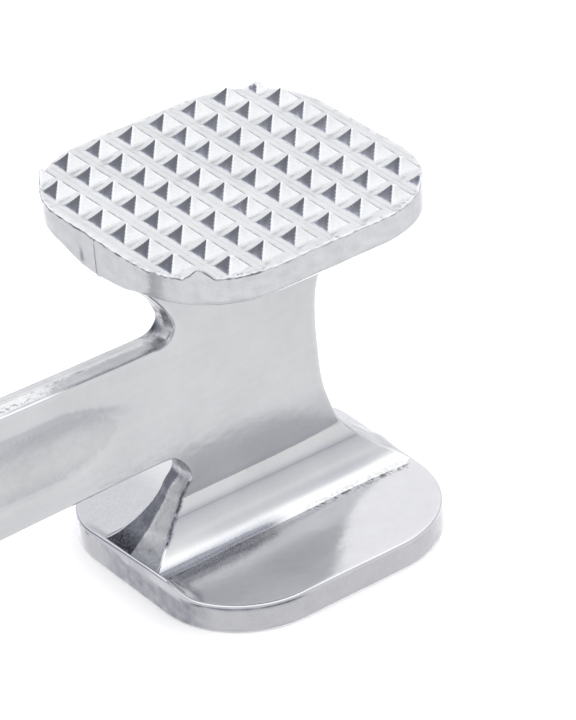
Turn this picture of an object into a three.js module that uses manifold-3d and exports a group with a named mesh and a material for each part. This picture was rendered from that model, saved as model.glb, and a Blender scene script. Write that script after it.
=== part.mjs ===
// Two-faced kitchen meat mallet, one aluminium casting.
// Frame: millimetres, +Z up, toothed face up. Origin at the centre of the smooth
// striking face, which lies in z = 0. The handle leaves the head towards -X and the
// plane y = 0 is the plane of symmetry (the parting plane of the casting mould).
// The casting is built as four named sections that meet face to face.
import * as THREE from "three";
import { mergeVertices } from "three/addons/utils/BufferGeometryUtils.js";
import Module from "manifold-3d";

const { clamp, degToRad, lerp, smoothstep } = THREE.MathUtils;

// ---- striking plates -------------------------------------------------------
const PLATE_HALF = 28.6; // half side of both square plates
const PLATE_R = 17.7; // corner radius of both plates, seen from above
const SMOOTH_T = 5.65; // thickness of the smooth plate
const TOOTHED_Z0 = 66.4; // inner face of the toothed plate
const TOOTHED_Z1 = 71.5; // floor between the teeth
const EDGE = 0.5; // size of the broken edge round a plate
const EDGE_BEND = 0.3; // where that edge bends, as a share of its size
const CORNER_STEPS = 14; // facets per plate corner

// ---- teeth -----------------------------------------------------------------
const PITCH = 6.8; // tooth spacing in x and in y
const TEETH = 8; // rows and columns of the square grid
const TOOTH_HALF = 2.35; // half width of a tooth at its foot
const TOOTH_TIP = 0.12; // half width of the worn flat on each tip
const TOOTH_H = 2.43; // height of a tooth above the floor
const TOOTH_SUNK = 0.4; // how far a tooth runs down into the plate
const TRIM_RADIUS = 24; // teeth centred beyond this are trimmed to the plate outline
const TRIM_MARGIN = 1; // how far the trimming solid passes the teeth in z
const MIN_TOOTH_VOLUME = 1.5; // mm3; smaller trimmed teeth are left out

// ---- web between the plates --------------------------------------------------
const WEB_HALF_T = 2.96; // half thickness of the flat part of the web
const WEB_LEVELS = 44; // steps up the web
// z, half thickness of the web: the saddle that spreads it onto each plate
const SADDLE = [
  [SMOOTH_T, 9.3], [6.4, 8.35], [7.4, 7.2], [8.84, 5.82], [10.3, 4.78], [11.75, 4.03],
  [13.2, 3.5], [14.8, 3.2], [17.2, 3.03], [20.5, WEB_HALF_T], [51.6, WEB_HALF_T],
  [54.9, 3.03], [57.3, 3.2], [58.9, 3.5], [60.35, 4.03], [61.8, 4.78], [63.25, 5.82],
  [64.7, 7.2], [65.7, 8.35], [TOOTHED_Z0, 9.3],
];
// z, half width of the web at its two outer edges
const END_EDGE = [
  [SMOOTH_T, 28.5], [6.9, 27.2], [7.9, 25.9], [8.84, 24.6], [9.8, 23.5], [10.8, 22.4],
  [11.75, 21.35], [13.7, 19.4], [15.6, 17.8], [17.6, 16.6], [19.5, 15.85], [21.5, 15.2],
  [25.4, 14.2], [30, 13.7], [38, 13.5], [43, 13.75], [47, 14.6], [50, 16.1], [52, 16.75],
  [54, 17.65], [56, 19.0], [58, 20.6], [60, 22.15], [62, 23.8], [63, 24.6], [64, 25.6],
  [65, 26.9], [TOOTHED_Z0, 28.5],
];
// z, how far the parting ridge stands proud of those edges at each end of the web
const RIDGE = [
  [SMOOTH_T, 0.1], [6.6, 0.9], [8.8, 1.1], [14.7, 1.0], [19, 0.6], [30, 0.45], [48, 0.45],
  [58, 0.5], [60, 0.7], [62, 1.2], [63, 2.1], [64, 3.0], [65, 1.7], [TOOTHED_Z0, 0.1],
];

// ---- handle ------------------------------------------------------------------
const HANDLE_END_X = -206; // free end
const HANDLE_CUT_X = -20.5; // where the handle section meets the web section
// x, height of the top rail
const HANDLE_TOP = [
  [HANDLE_END_X, 48.0], [-180, 47.95], [-130, 47.75], [-90, 47.5], [-55, 47.3],
  [-20, 47.05], [0, 47.05],
];
// x, height of the bottom rail
const HANDLE_LOW = [
  [HANDLE_END_X, 22.6], [-180, 22.6], [-130, 22.9], [-90, 23.2], [-55, 23.6],
  [-20, 24.35], [0, 24.35],
];
const HANDLE_HALF_T = 2.98; // half thickness at the rails
const HANDLE_EDGE_R = 0.9; // rounding of the long edges
const HANDLE_CROWN = 0.35; // rise of the top and bottom over their middle line
const SIDE_STEPS = 18; // steps up each side of a handle section
const END_STEPS = 20; // facets of the rounded free end
const END_CLEARANCE = 0.02; // keeps the end outline just clear of the crowns

const SCOOP_DEPTH = 0.85; // depth of the shallow hollow in each side
const SCOOP_HALF_H = 7.0; // half height of the hollow
const SCOOP_X0 = -23.5; // head end of the hollow
const SCOOP_X1 = -184; // far end of the hollow
const SCOOP_DEEPEN = 16; // length over which it reaches full depth
const SCOOP_WIDEN = 12; // length over which it reaches full height
const SCOOP_MIN_SHARE = 0.02; // lower limit of the share of that length, never zero

// x of the handle's cross sections, crowded where the hollow starts and ends
const HANDLE_STATIONS = [
  HANDLE_END_X, -199, -190, SCOOP_X1, -182.5, -180.5, -178, -175, -172, -166,
  -150, -130, -110, -90, -75, -65, -55, -48, -42, -38, -35, -32, -29.5, -27, -25,
  -23, -20, -4,
];

const HOLE_R = 4.25; // hanging hole
const HOLE_X = -194.2; // its centre
const HOLE_BREAK = 0.6; // broken edge of the hole
const HOLE_FACETS = 28;
const BORE_HALF = 6; // half length of the boring cylinder

// ---- inner corners where the handle leaves the web ------------------------------
// x of the upright side of the corner, radius
const TOP_FILLET = { x: -16.1, radius: 3.8 }; // over the handle
const LOW_FILLET = { x: -15.6, radius: 4.4 }; // under the handle
const FILLET_STEPS = 8;
const FILLET_INTO_WEB = 5; // overlap with the web, in x
const FILLET_INTO_HANDLE = 1.2; // overlap with the handle, in z
const FILLET_INSET = 0.02; // keeps the fillet just inside the web's flat sides

// Block that parts the handle section from the web section
const CUT = { x0: -260, x1: HANDLE_CUT_X, z0: 20, z1: 53, halfY: 15 };

// ---- finish of each section ----------------------------------------------------
const TOOTHED_FINISH = { color: 0xd6d8dc, roughness: 0.32 };
const SMOOTH_FINISH = { color: 0xcfd1d6, roughness: 0.28 };
const WEB_FINISH = { color: 0xcccfd4, roughness: 0.3 };
const HANDLE_FINISH = { color: 0xc9ccd1, roughness: 0.3 };

// ---- helpers -------------------------------------------------------------------
const wasm = await Module();
wasm.setup();

const WELD = 1e-4; // vertices closer than this are merged

function solid(geometry) {
  geometry.deleteAttribute("normal");
  geometry.deleteAttribute("uv");
  const welded = mergeVertices(geometry, WELD);
  return new wasm.Manifold(
    new wasm.Mesh({
      numProp: 3,
      vertProperties: welded.attributes.position.array,
      triVerts: new Uint32Array(welded.index.array),
    }),
  );
}

// Closed loft through rings of equal point count, with a fan at each end.
function loft(rings) {
  const count = rings[0].length;
  const positions = rings.flat(2);
  const indices = [];
  for (let k = 0; k + 1 < rings.length; k++)
    for (let i = 0; i < count; i++) {
      const a = k * count + i;
      const b = k * count + ((i + 1) % count);
      indices.push(a, b, b + count, a, b + count, a + count);
    }
  for (const k of [0, rings.length - 1]) {
    const centre = [0, 0, 0];
    for (const point of rings[k])
      for (let j = 0; j < 3; j++) centre[j] += point[j] / count;
    const hub = positions.length / 3;
    positions.push(...centre);
    for (let i = 0; i < count; i++) {
      const a = k * count + i;
      const b = k * count + ((i + 1) % count);
      if (k === 0) indices.push(hub, b, a);
      else indices.push(hub, a, b);
    }
  }
  const geometry = new THREE.BufferGeometry();
  geometry.setAttribute("position", new THREE.Float32BufferAttribute(positions, 3));
  geometry.setIndex(indices);
  return solid(geometry);
}

// Prism with its outline in x, z and its thickness along y.
function prismXZ(outline, halfY) {
  const shape = new THREE.Shape(outline.map(([x, z]) => new THREE.Vector2(x, z)));
  const geometry = new THREE.ExtrudeGeometry(shape, { depth: 2 * halfY, bevelEnabled: false });
  geometry.rotateX(Math.PI / 2);
  geometry.translate(0, halfY, 0);
  return solid(geometry);
}

// Value of a two-column table at a place, held constant beyond its ends.
function lookUp(rows, at) {
  if (at <= rows[0][0]) return rows[0][1];
  for (let i = 1; i < rows.length; i++)
    if (at <= rows[i][0]) {
      const [from, fromValue] = rows[i - 1];
      const [to, toValue] = rows[i];
      return fromValue + ((at - from) / (to - from)) * (toValue - fromValue);
    }
  return rows[rows.length - 1][1];
}

// ---- striking plates -------------------------------------------------------------
// Outline of a plate drawn in by inset, counter-clockwise seen from above.
function plateRing(inset, z) {
  const radius = PLATE_R - inset;
  const arcCentre = PLATE_HALF - PLATE_R;
  const points = [];
  for (const [signX, signY, start] of [[1, 1, 0], [-1, 1, 90], [-1, -1, 180], [1, -1, 270]])
    for (let k = 0; k <= CORNER_STEPS; k++) {
      const angle = degToRad(start + (90 * k) / CORNER_STEPS);
      points.push([
        signX * arcCentre + radius * Math.cos(angle),
        signY * arcCentre + radius * Math.sin(angle),
        z,
      ]);
    }
  return points;
}

// Plate from z0 to z1; lowEdge and topEdge are the sizes of its broken edges.
function plate({ z0, z1, lowEdge = 0, topEdge = 0 }) {
  const rings = [plateRing(0, z0 + lowEdge), plateRing(0, z1 - topEdge)];
  if (lowEdge) {
    const bend = lowEdge * EDGE_BEND;
    rings.unshift(plateRing(lowEdge, z0), plateRing(bend, z0 + bend));
  }
  if (topEdge) {
    const bend = topEdge * EDGE_BEND;
    rings.push(plateRing(bend, z1 - bend), plateRing(topEdge, z1));
  }
  return loft(rings);
}

// Pyramid with a small flat tip, its sides carried on down into the plate.
function makeTooth(x, y) {
  const square = (half, z) => [
    [x + half, y + half, z],
    [x - half, y + half, z],
    [x - half, y - half, z],
    [x + half, y - half, z],
  ];
  const grow = ((TOOTH_HALF - TOOTH_TIP) * TOOTH_SUNK) / TOOTH_H;
  return loft([
    square(TOOTH_HALF + grow, TOOTHED_Z1 - TOOTH_SUNK),
    square(TOOTH_TIP, TOOTHED_Z1 + TOOTH_H),
  ]);
}

function makeToothedPlate() {
  let toothed = plate({ z0: TOOTHED_Z0, z1: TOOTHED_Z1, lowEdge: EDGE });
  const trim = plate({
    z0: TOOTHED_Z1 - TRIM_MARGIN,
    z1: TOOTHED_Z1 + TOOTH_H + TRIM_MARGIN,
  });
  for (let i = 0; i < TEETH; i++)
    for (let j = 0; j < TEETH; j++) {
      const x = (i - (TEETH - 1) / 2) * PITCH;
      const y = (j - (TEETH - 1) / 2) * PITCH;
      let tooth = makeTooth(x, y);
      if (Math.hypot(x, y) > TRIM_RADIUS) {
        tooth = tooth.intersect(trim);
        if (tooth.volume() < MIN_TOOTH_VOLUME) continue;
      }
      toothed = toothed.add(tooth);
    }
  return toothed;
}

// ---- web -------------------------------------------------------------------------
function makeWebBody() {
  const rings = [];
  for (let k = 0; k <= WEB_LEVELS; k++) {
    // levels crowd towards the two plates
    const share = 0.5 - 0.5 * Math.cos((Math.PI * k) / WEB_LEVELS);
    const z = lerp(SMOOTH_T, TOOTHED_Z0, share);
    const y = lookUp(SADDLE, z);
    const x = lookUp(END_EDGE, z);
    const ridge = Math.min(PLATE_HALF, x + lookUp(RIDGE, z));
    rings.push([
      [-ridge, 0, z], [-x, -y, z], [0, -y, z], [x, -y, z],
      [ridge, 0, z], [x, y, z], [0, y, z], [-x, y, z],
    ]);
  }
  return loft(rings);
}

// ---- handle ----------------------------------------------------------------------
// Middle height and half height of the handle at x, without its crowns.
function handleSpan(x) {
  const top = lookUp(HANDLE_TOP, x);
  const low = lookUp(HANDLE_LOW, x);
  return { midZ: (top + low) / 2, halfH: (top - low) / 2 };
}

function handleRing(x) {
  const { midZ, halfH } = handleSpan(x);
  const sideTop = halfH - HANDLE_EDGE_R;
  const shoulder = HANDLE_HALF_T - HANDLE_EDGE_R;
  const bend = HANDLE_EDGE_R * Math.SQRT1_2; // each rounded edge has one point, at 45 degrees

  // the hollow fades in from whichever of its ends is nearer
  const inside = Math.min(SCOOP_X0 - x, x - SCOOP_X1);
  const depth = SCOOP_DEPTH * smoothstep(inside, 0, SCOOP_DEEPEN);
  const reach = SCOOP_HALF_H * Math.sqrt(clamp(inside / SCOOP_WIDEN, SCOOP_MIN_SHARE, 1));

  // +Y half of the section, from low to high
  const half = [[shoulder, -halfH], [shoulder + bend, -sideTop - bend]];
  for (let k = 0; k <= SIDE_STEPS; k++) {
    const z = -sideTop + (2 * sideTop * k) / SIDE_STEPS;
    const off = Math.min(1, Math.abs(z) / reach);
    half.push([HANDLE_HALF_T - depth * (1 - off * off) ** 2, z]);
  }
  half.push([shoulder + bend, sideTop + bend], [shoulder, halfH]);

  const mirrored = half.map(([y, z]) => [-y, z]).reverse();
  const crown = halfH + HANDLE_CROWN;
  return [[0, -crown], ...half, [0, crown], ...mirrored].map(([y, z]) => [x, y, midZ + z]);
}

// Round cutter along y through the hanging hole, radius r0 at y0 and r1 at y1.
function holeCutter({ y0, r0, y1, r1, z }) {
  const geometry = new THREE.CylinderGeometry(r1, r0, y1 - y0, HOLE_FACETS);
  geometry.translate(HOLE_X, (y0 + y1) / 2, z);
  return solid(geometry);
}

function makeBar() {
  const { midZ: z, halfH } = handleSpan(HANDLE_END_X);

  // rounded free end
  const endR = halfH + HANDLE_CROWN + END_CLEARANCE;
  const headX = 10; // beyond the head end of the bar
  const outline = [[headX, z - endR], [headX, z + endR]];
  for (let k = 0; k <= END_STEPS; k++) {
    const angle = Math.PI / 2 + (Math.PI * k) / END_STEPS;
    outline.push([HANDLE_END_X + endR + endR * Math.cos(angle), z + endR * Math.sin(angle)]);
  }

  // hanging hole, with a cone at each side to break its edge
  const inner = HANDLE_HALF_T - HOLE_BREAK;
  const outer = HANDLE_HALF_T + HOLE_BREAK;
  const wideR = HOLE_R + 2 * HOLE_BREAK;
  return loft(HANDLE_STATIONS.map(handleRing))
    .intersect(prismXZ(outline, 20))
    .subtract(holeCutter({ y0: -BORE_HALF, r0: HOLE_R, y1: BORE_HALF, r1: HOLE_R, z }))
    .subtract(holeCutter({ y0: inner, r0: HOLE_R, y1: outer, r1: wideR, z }))
    .subtract(holeCutter({ y0: -outer, r0: wideR, y1: -inner, r1: HOLE_R, z }));
}

// Inner corner: a block with a round bite; up is 1 over the handle, -1 under it.
function innerCorner({ x, radius }, railZ, up) {
  const sunkZ = railZ - up * FILLET_INTO_HANDLE;
  const outline = [[x + FILLET_INTO_WEB, sunkZ], [x + FILLET_INTO_WEB, railZ + up * radius]];
  for (let k = 0; k <= FILLET_STEPS; k++) {
    const angle = (Math.PI / 2) * (k / FILLET_STEPS);
    outline.push([
      x - radius + radius * Math.cos(angle),
      railZ + up * (radius - radius * Math.sin(angle)),
    ]);
  }
  outline.push([x - radius, sunkZ]);
  return prismXZ(outline, WEB_HALF_T - FILLET_INSET);
}

// Web and handle are joined with their corners, then parted at HANDLE_CUT_X.
function makeWebAndHandle() {
  const joined = makeWebBody()
    .add(makeBar())
    .add(innerCorner(TOP_FILLET, lookUp(HANDLE_TOP, HANDLE_CUT_X), 1))
    .add(innerCorner(LOW_FILLET, lookUp(HANDLE_LOW, HANDLE_CUT_X), -1));
  const { x0, x1, z0, z1, halfY } = CUT;
  const cut = prismXZ([[x0, z0], [x1, z0], [x1, z1], [x0, z1]], halfY);
  return { web: joined.subtract(cut), handle: joined.intersect(cut) };
}

// ---- assembly --------------------------------------------------------------------
// Flat-shaded metal mesh of a solid.
function metalMesh(name, part, finish) {
  const { vertProperties, triVerts } = part.getMesh();
  const geometry = new THREE.BufferGeometry();
  geometry.setAttribute("position", new THREE.BufferAttribute(vertProperties, 3));
  geometry.setIndex(new THREE.BufferAttribute(triVerts, 1));
  const flat = geometry.toNonIndexed();
  flat.computeVertexNormals();
  const material = new THREE.MeshStandardMaterial({ ...finish, metalness: 1 });
  const mesh = new THREE.Mesh(flat, material);
  mesh.name = name;
  return mesh;
}

const smoothPlate = plate({ z0: 0, z1: SMOOTH_T, lowEdge: EDGE, topEdge: EDGE });
const { web, handle } = makeWebAndHandle();

const group = new THREE.Group();
group.name = "meat_mallet";
group.add(
  metalMesh("toothed_strike_plate", makeToothedPlate(), TOOTHED_FINISH),
  metalMesh("smooth_strike_plate", smoothPlate, SMOOTH_FINISH),
  metalMesh("web", web, WEB_FINISH),
  metalMesh("handle", handle, HANDLE_FINISH),
);

export default group;
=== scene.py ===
import math
from collections import namedtuple

import bmesh
import bpy
import numpy as np
from mathutils import Matrix, Vector
from mathutils.geometry import delaunay_2d_cdt


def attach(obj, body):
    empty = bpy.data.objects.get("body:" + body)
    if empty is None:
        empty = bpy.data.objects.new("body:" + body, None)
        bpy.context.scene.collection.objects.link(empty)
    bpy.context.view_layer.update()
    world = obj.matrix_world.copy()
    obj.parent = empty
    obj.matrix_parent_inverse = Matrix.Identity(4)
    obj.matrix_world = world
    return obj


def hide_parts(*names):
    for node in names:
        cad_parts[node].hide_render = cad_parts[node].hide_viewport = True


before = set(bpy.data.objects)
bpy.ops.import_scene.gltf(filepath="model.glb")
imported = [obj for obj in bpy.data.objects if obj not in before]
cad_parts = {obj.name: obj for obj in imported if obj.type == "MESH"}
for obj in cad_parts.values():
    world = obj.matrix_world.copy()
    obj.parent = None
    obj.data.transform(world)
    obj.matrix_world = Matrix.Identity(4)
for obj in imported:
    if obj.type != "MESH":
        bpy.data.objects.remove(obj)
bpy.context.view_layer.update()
METRES_PER_MM = 0.001

# ---------------------------------------------------------------------------
# dimensions, millimetres
# ---------------------------------------------------------------------------
PLATE_HALF = 28.6            # half the side of both square plates
PLATE_CORNER_R = 17.7
SMOOTH_TOP = 5.65            # upper face of the smooth plate
TOOTHED_UNDER = 66.4         # underside of the toothed plate
TOOTH_FLOOR = 71.5           # floor between the teeth

TEETH = 8                    # per side
PITCH = 6.8
TOOTH_HALF = 2.35            # half width of a tooth at its foot
TOOTH_TIP = 0.12             # half width at its tip
TOOTH_HEIGHT = 2.43

WEB_LOW, WEB_HIGH = 5.0, 67.0        # the web is sunk a little into both plates
RIDGE_LIMIT = PLATE_HALF - 0.03      # the web's ends stay within the plates
HANDLE_END = -206.0
HANDLE_RIDGE = 0.27                  # how far the handle's side bows out at mid thickness
CUT_X = -20.5                        # plane between web and handle

HOLE_X = -194.2              # hanging hole
HOLE_MOUTH_R = 4.95
HOLE_SEGMENTS = 48
# (share of the half thickness, radius) from the front mouth to the middle
HOLE_WALL = [(1.0, HOLE_MOUTH_R), (0.95, 4.7), (0.88, 4.45), (0.78, 4.28), (0.6, 4.25), (0.2, 4.25)]

HOLLOW_X = (-23.0, -184.0)   # ends of the shallow hollow in each face of the handle
HOLLOW_DEPTH = 0.95
HOLLOW_HALF = 7.2            # half its height

# (z, half thickness of the web)
SADDLE = [
    (5.0, 10.6), (5.65, 9.6), (6.0, 8.84), (6.365, 8.24), (6.76, 7.675), (7.185, 7.15),
    (7.64, 6.665), (8.64, 5.81), (9.73, 5.07), (10.88, 4.41), (12.11, 3.856), (12.76, 3.625),
    (13.44, 3.43), (14.15, 3.28), (15.14, 3.10), (15.69, 3.015), (16.3, 2.97), (17.2, 2.962),
    (20.5, 2.96), (36, 2.96), (51.6, 2.96), (54.9, 3.03), (57.3, 3.2), (58.9, 3.5),
    (60.35, 4.03), (61.8, 4.78), (63.25, 5.82), (64.7, 7.2), (65.7, 8.35), (66.4, 9.3), (67.0, 10.2)]
# (z, distance from the middle to the end of the web, along x)
END_EDGE = [
    (5.0, 28.55), (5.65, 28.4), (6.9, 27.2), (7.9, 25.9), (8.84, 24.6), (9.8, 23.5),
    (10.8, 22.4), (11.75, 21.35), (13.7, 19.4), (15.6, 17.8), (17.6, 16.6), (19.5, 15.85),
    (21.5, 15.2), (25.4, 14.2), (30, 13.7), (38, 13.5), (43, 13.75), (47, 14.6), (50, 16.1),
    (52, 16.75), (54, 17.65), (56, 19.0), (58, 20.6), (60, 22.15), (62, 23.8), (63, 24.6),
    (64, 25.6), (65, 26.9), (66.4, 28.4), (67.0, 28.5)]
# (z, how far the ridge at mid thickness stands out beyond that end)
RIDGE = [
    (5.0, 0.05), (5.65, 0.1), (6.6, 0.9), (8.8, 1.1), (14.7, 1.0), (19, 0.6), (30, 0.45),
    (48, 0.45), (58, 0.5), (60, 0.7), (62, 1.2), (63, 2.1), (64, 2.8), (65, 1.6),
    (66.4, 0.1), (67.0, 0.05)]
# (z, x) of the web's left end below the handle
LEFT_LOW = [
    (5.0, -28.5), (5.93, -28.2), (7.38, -25.8), (8.84, -24.1), (10.3, -22.5), (11.75, -21.2),
    (13.2, -19.86), (14.67, -18.7), (16.35, -17.74)]
# (z, reach towards -x) of the ridge on that end
LEFT_LOW_RIDGE = [
    (5.0, 28.5), (5.93, 28.3), (7.38, 26.8), (8.84, 25.3), (10.3, 23.6), (11.75, 22.3),
    (13.2, 21.0), (14.67, 19.7), (16.4, 18.6), (17.3, 17.5)]
# (x, z) of the inner corner under the handle, from the web outwards
LOW_FILLET = [
    (-16.52, 17.69), (-15.95, 18.35), (-15.60, 19.1), (-15.56, 19.9), (-15.96, 20.92),
    (-16.61, 22.04), (-17.57, 23.21), (-18.55, 24.02), (-19.6, 24.33)]
# (x, z) of the inner corner over the handle, from the web outwards
HIGH_FILLET = [
    (-17.5, 53.7), (-16.72, 52.0), (-16.28, 50.9), (-16.12, 50.0), (-16.35, 49.15),
    (-16.85, 48.4), (-17.5, 47.75), (-18.4, 47.3), (-19.5, 47.07), (-20.3, 47.05)]
# (x, z) of the handle's upper and lower edges
HANDLE_TOP = [
    (-206, 48.0), (-180, 47.95), (-130, 47.75), (-90, 47.5), (-55, 47.3), (-20, 47.05), (0, 47.05)]
HANDLE_LOW = [
    (-206, 22.6), (-180, 22.6), (-130, 22.9), (-90, 23.2), (-55, 23.6), (-20, 24.35), (0, 24.35)]
# (x, change of half thickness at the foot of the web)
FOOT_SHIFT = [
    (-30, -0.5), (-23, -0.3), (-16, -0.5), (-9, -0.8), (-2.5, -0.75), (4, -0.85), (11, -1.0),
    (18, -0.95), (27, -0.5), (30, -0.5)]
# (y, drop of the toothed plate's lower rim on its left side)
TOOTHED_SAG = [
    (-16.5, 0.0), (-14.7, 0.1), (-11.7, 0.5), (-7.8, 1.5), (-3.9, 1.9), (0.8, 2.25), (5.4, 1.9),
    (8.3, 1.1), (11.4, 0.3), (14, 0.0)]
# (y, rise of the smooth plate's upper rim on its left side)
SMOOTH_LIP = [
    (-23, 0.0), (-21.4, 0.1), (-17.8, 0.35), (-15.8, 0.8), (-11.3, 1.6), (-6.6, 1.5),
    (-1.4, 1.2), (5, 0.9), (10.4, 0.6), (14, 0.2), (17, 0.0)]


# ---------------------------------------------------------------------------
# curves and noise
# ---------------------------------------------------------------------------
def curve_through(rows):
    """Monotone cubic through (station, value) rows, level beyond both ends."""
    station, value = np.array(rows, float).T
    gap = np.diff(station)
    slope = np.diff(value) / gap
    tangent = np.zeros_like(value)
    for i in range(1, len(station) - 1):
        if slope[i - 1] * slope[i] > 0:
            before = 2 * gap[i] + gap[i - 1]
            after = gap[i] + 2 * gap[i - 1]
            tangent[i] = (before + after) / (before / slope[i - 1] + after / slope[i])
    tangent[0], tangent[-1] = slope[0], slope[-1]

    def curve(at):
        at = np.clip(np.asarray(at, float), station[0], station[-1])
        i = np.clip(np.searchsorted(station, at, side="right") - 1, 0, len(gap) - 1)
        t = (at - station[i]) / gap[i]
        return ((1 + 2 * t) * (1 - t) ** 2 * value[i] + t * (1 - t) ** 2 * gap[i] * tangent[i]
                + t * t * (3 - 2 * t) * value[i + 1] + t * t * (t - 1) * gap[i] * tangent[i + 1])
    return curve


saddle = curve_through(SADDLE)
end_edge = curve_through(END_EDGE)
end_ridge = curve_through(RIDGE)
left_low = curve_through(LEFT_LOW)
left_low_ridge = curve_through(LEFT_LOW_RIDGE)
handle_top = curve_through(HANDLE_TOP)
handle_low = curve_through(HANDLE_LOW)
foot_shift = curve_through(FOOT_SHIFT)
toothed_sag = curve_through(TOOTHED_SAG)
smooth_lip = curve_through(SMOOTH_LIP)

# the rounded tip of the handle; the hanging hole lies at the same height
TIP_Z = float(handle_top(HANDLE_END) + handle_low(HANDLE_END)) / 2
TIP_R = float(handle_top(HANDLE_END) - handle_low(HANDLE_END)) / 2


def waves(seed, length):
    """Smooth seeded noise: a sum of cosine waves of about the given length, roughly -1 to 1."""
    count = 14
    rng = np.random.default_rng(seed)
    heading = rng.normal(size=(count, 3))
    heading /= np.linalg.norm(heading, axis=1)[:, None]
    wave = heading * (2 * math.pi / length) * rng.uniform(0.6, 1.7, count)[:, None]
    phase = rng.uniform(0, 2 * math.pi, count)

    def field(points):
        total = np.cos(np.asarray(points, float) @ wave.T + phase).sum(-1)
        return total * (1.4 / math.sqrt(count)) * 0.7
    return field


# unevenness of the casting, shared by all pieces
cast_slow = waves(3, 9.0)
cast_mid = waves(4, 2.4)
cast_fine = waves(5, 0.7)


def ease(t):
    """Smooth step from 0 to 1."""
    t = np.clip(t, 0, 1)
    return t * t * (3 - 2 * t)


def rise(value, start, span):
    """0 up to start, easing to 1 a span further on."""
    return ease((value - start) / span)


def fall(value, end, span):
    """1 until a span before end, easing to 0 at end."""
    return ease((end - value) / span)


def bell(value, centre, width):
    return np.exp(-((value - centre) / width) ** 2)


def smooth_max(a, b, blend):
    overlap = np.maximum(blend - np.abs(a - b), 0) / blend
    return np.maximum(a, b) + overlap * overlap * blend * 0.25


# ---------------------------------------------------------------------------
# points and lines in a plane
# ---------------------------------------------------------------------------
def triangulate(points, loop_count, extra_edges=()):
    """Delaunay triangles inside the closed loop formed by the first loop_count points."""
    verts = [Vector((float(a), float(b))) for a, b in points]
    edges = [(i, (i + 1) % loop_count) for i in range(loop_count)] + list(extra_edges)
    placed, _, triangles, _, _, _ = delaunay_2d_cdt(verts, edges, [], 1, 1e-6)
    return np.array([(p.x, p.y) for p in placed]), [tuple(t) for t in triangles]


def nearest(samples, points):
    """Distance from each point to its closest sample, and the index of that sample."""
    distance = np.empty(len(points))
    index = np.empty(len(points), int)
    for start in range(0, len(points), 3000):      # in blocks, to limit memory
        block = slice(start, start + 3000)
        gaps = np.linalg.norm(points[block, None] - samples[None], axis=2)
        distance[block] = gaps.min(1)
        index[block] = gaps.argmin(1)
    return distance, index


def inside(points, loop, margin):
    """True for points inside the loop and further than margin from its line."""
    following = np.roll(loop, -1, axis=0)
    hit = np.zeros(len(points), bool)
    for start in range(0, len(points), 4000):
        block = points[start:start + 4000]
        across = block[:, 0][:, None]
        up = block[:, 1][:, None]
        spans = (loop[:, 1] > up) != (following[:, 1] > up)
        with np.errstate(divide="ignore", invalid="ignore"):
            crossing = ((following[:, 0] - loop[:, 0]) * (up - loop[:, 1])
                        / (following[:, 1] - loop[:, 1]) + loop[:, 0])
        crossed = np.where(spans, across < crossing, False)
        hit[start:start + 4000] = (crossed.sum(1) % 2) == 1
    distance, _ = nearest(resample(loop, 0.3, closed=True), points)
    return hit & (distance > margin)


def resample(line, spacing, closed=False):
    line = np.asarray(line, float)
    if closed:
        line = np.vstack([line, line[:1]])
    travel = np.concatenate([[0], np.cumsum(np.linalg.norm(np.diff(line, axis=0), axis=1))])
    count = max(2, int(round(travel[-1] / spacing)) + 1)
    stops = np.linspace(0, travel[-1], count)
    even = np.stack([np.interp(stops, travel, line[:, i]) for i in range(line.shape[1])], 1)
    return even[:-1] if closed else even


def smooth_path(points, spacing):
    """Even samples of a Catmull-Rom curve through the points."""
    p = np.asarray(points, float)
    p = np.vstack([2 * p[0] - p[1], p, 2 * p[-1] - p[-2]])
    path = []
    for i in range(1, len(p) - 2):
        for t in np.linspace(0, 1, 9)[:-1]:
            path.append(0.5 * ((2 * p[i]) + (p[i + 1] - p[i - 1]) * t
                               + (2 * p[i - 1] - 5 * p[i] + 4 * p[i + 1] - p[i + 2]) * t * t
                               + (3 * p[i] - p[i - 1] - 3 * p[i + 1] + p[i + 2]) * t ** 3))
    path.append(p[-2])
    return resample(path, spacing)


# ---------------------------------------------------------------------------
# mesh helpers
# ---------------------------------------------------------------------------
def add_object(name, bm):
    """Object made from the bmesh, which is freed."""
    mesh = bpy.data.meshes.new(name)
    bm.to_mesh(mesh)
    bm.free()
    obj = bpy.data.objects.new(name, mesh)
    bpy.context.scene.collection.objects.link(obj)
    return obj


def face_outwards(bm):
    bmesh.ops.recalc_face_normals(bm, faces=bm.faces)
    if bm.calc_volume(signed=True) < 0:
        bmesh.ops.reverse_faces(bm, faces=bm.faces)


def drop_loose(bm):
    loose = [v for v in bm.verts if not v.link_faces]
    bmesh.ops.delete(bm, geom=loose, context="VERTS")


class Shell:
    """Points and faces of a piece being built, in millimetres."""

    def __init__(self):
        self.points = []
        self.faces = []

    def add(self, points):
        """Adds points and returns the index of the first."""
        start = len(self.points)
        self.points.extend(points)
        return start

    def add_triangles(self, start, triangles):
        self.faces += [tuple(start + i for i in t) for t in triangles]

    def join_rings(self, starts, count):
        """Quads between consecutive closed rings, given the first index of each."""
        for this, following in zip(starts, starts[1:]):
            for i in range(count):
                j = (i + 1) % count
                self.faces.append((this + i, this + j, following + j, following + i))

    def to_object(self, name):
        """The welded, closed and smooth-shaded object."""
        bm = bmesh.new()
        verts = [bm.verts.new(tuple(float(c) for c in p)) for p in self.points]
        for face in self.faces:
            try:
                bm.faces.new([verts[i] for i in face])
            except ValueError:
                # skips a face that repeats a vertex or an earlier face
                pass
        bmesh.ops.remove_doubles(bm, verts=bm.verts, dist=2e-4)
        drop_loose(bm)
        face_outwards(bm)
        for face in bm.faces:
            face.smooth = True
        return add_object(name, bm)


def read_vectors(collection, name):
    flat = np.zeros(len(collection) * 3, np.float32)
    collection.foreach_get(name, flat)
    return flat.reshape(-1, 3).astype(float)


def vertex_places(mesh):
    return read_vectors(mesh.vertices, "co")


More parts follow.
